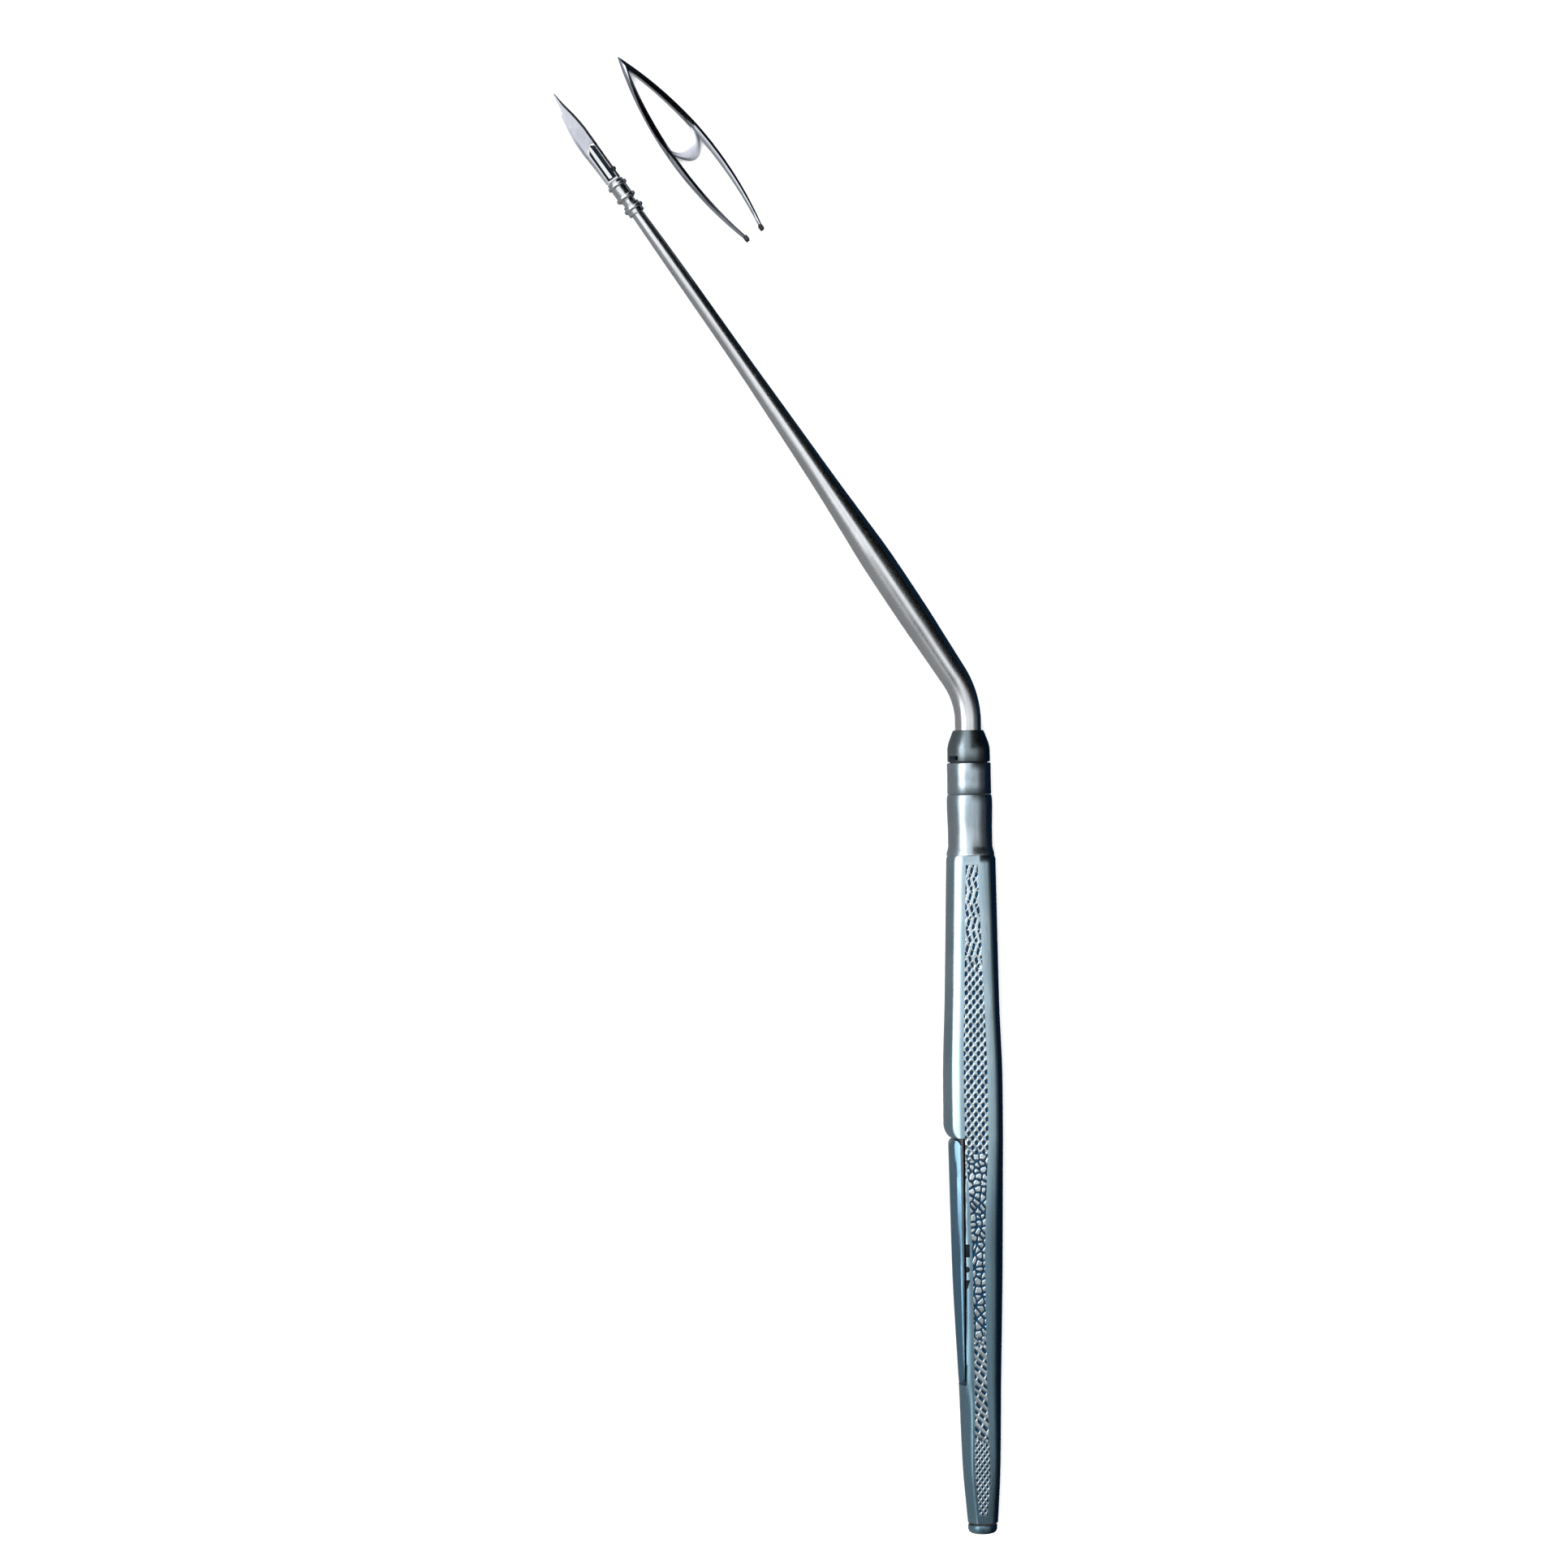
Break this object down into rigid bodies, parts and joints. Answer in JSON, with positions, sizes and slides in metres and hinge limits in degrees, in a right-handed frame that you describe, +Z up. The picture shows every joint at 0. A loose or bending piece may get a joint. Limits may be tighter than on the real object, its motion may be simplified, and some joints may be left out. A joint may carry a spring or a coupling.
{
  "type": "angled dental explorer with collet handle",
  "caption": "Angled dental explorer: knurled handle with a lever-released collet, bent tapered shank, clip-on spear blade and a loose hoop guard.",
  "frame": {"origin": "middle of the flat underside of the handle at its widest stretch, on the surface that it lies on", "axes": "+Y along the handle's axis towards the tip, -X the side to which the shank bends, +Z up off the surface"},
  "size_m": [0.053, 0.1831, 0.0067],
  "materials": {
    "blue_steel": "polished, blue tinted",
    "knurled_steel": "knurled, blue tinted",
    "neck_steel": "satin",
    "dark_steel": "dark satin",
    "plain_steel": "ground",
    "shank_steel": "mirror polished",
    "blade_steel": "satin",
    "brass_bush": "turned",
    "seal_rubber": "matt"
  },
  "bodies": {
    "handle": {"handle_shell": "blue_steel", "front_grip": "knurled_steel", "back_grip": "knurled_steel", "butt_plug": "blue_steel", "butt_seal": "seal_rubber", "lever_pin": "dark_steel", "guide_bush": "brass_bush", "neck_sleeve": "neck_steel", "collar_ring": "neck_steel", "nose_seal": "seal_rubber"},
    "lever": {"side_lever": "blue_steel"},
    "drawbar": {"draw_rod": "plain_steel", "spring_seat": "plain_steel", "return_spring": "plain_steel"},
    "nose": {"nose_cap": "dark_steel"},
    "chuck": {"collet": "plain_steel"},
    "shank_unit": {"shank": "shank_steel", "tip_holder": "plain_steel", "ferrule": "plain_steel"},
    "lock": {"lock_ring": "plain_steel"},
    "blade_unit": {"blade": "blade_steel"},
    "guard": {"tip_guard": "shank_steel", "guard_pads": "seal_rubber"}
  },
  "joints": [
    {"name": "lever_press", "type": "hinge", "parent": "handle", "child": "lever", "pos_m": [-0.0013, -0.0172, 0.00335], "axis": [0, 0, -1], "range_deg": [0, 1.35]},
    {"name": "drawbar_slide", "type": "slide", "parent": "handle", "child": "drawbar", "axis": [0, 1, 0], "range_m": [0, 0.0003], "stiffness_N_per_m": 300, "springref_m": -0.0015, "deforming": ["return_spring"]},
    {"name": "nose_cap_turn", "type": "hinge", "parent": "handle", "child": "nose", "pos_m": [0, 0.047, 0.00335], "axis": [0, 1, 0], "range_deg": [0, 180]},
    {"name": "shank_swivel", "type": "hinge", "parent": "drawbar", "child": "chuck", "pos_m": [0, 0.042, 0.00335], "axis": [0, 1, 0], "range_deg": [-90, 90]},
    {"name": "shank_pull_out", "type": "slide", "parent": "chuck", "child": "shank_unit", "axis": [0, 1, 0], "range_m": [0, 0.01]},
    {"name": "lock_ring_turn", "type": "hinge", "parent": "shank_unit", "child": "lock", "pos_m": [-0.03999, 0.1139, 0.00335], "axis": [-0.5664, 0.8241, 0], "range_deg": [0, 90]},
    {"name": "blade_lift", "type": "slide", "parent": "shank_unit", "child": "blade_unit", "axis": [0, 0, 1], "range_m": [0, 0.004]},
    {"name": "guard_lift", "type": "slide", "parent": "handle", "child": "guard", "axis": [0, 0, 1], "range_m": [0, 0.02]}
  ],
  "couplings": [
    {"joint": "lever_press", "follows": "drawbar_slide", "rad_per_m": 77.5}
  ]
}
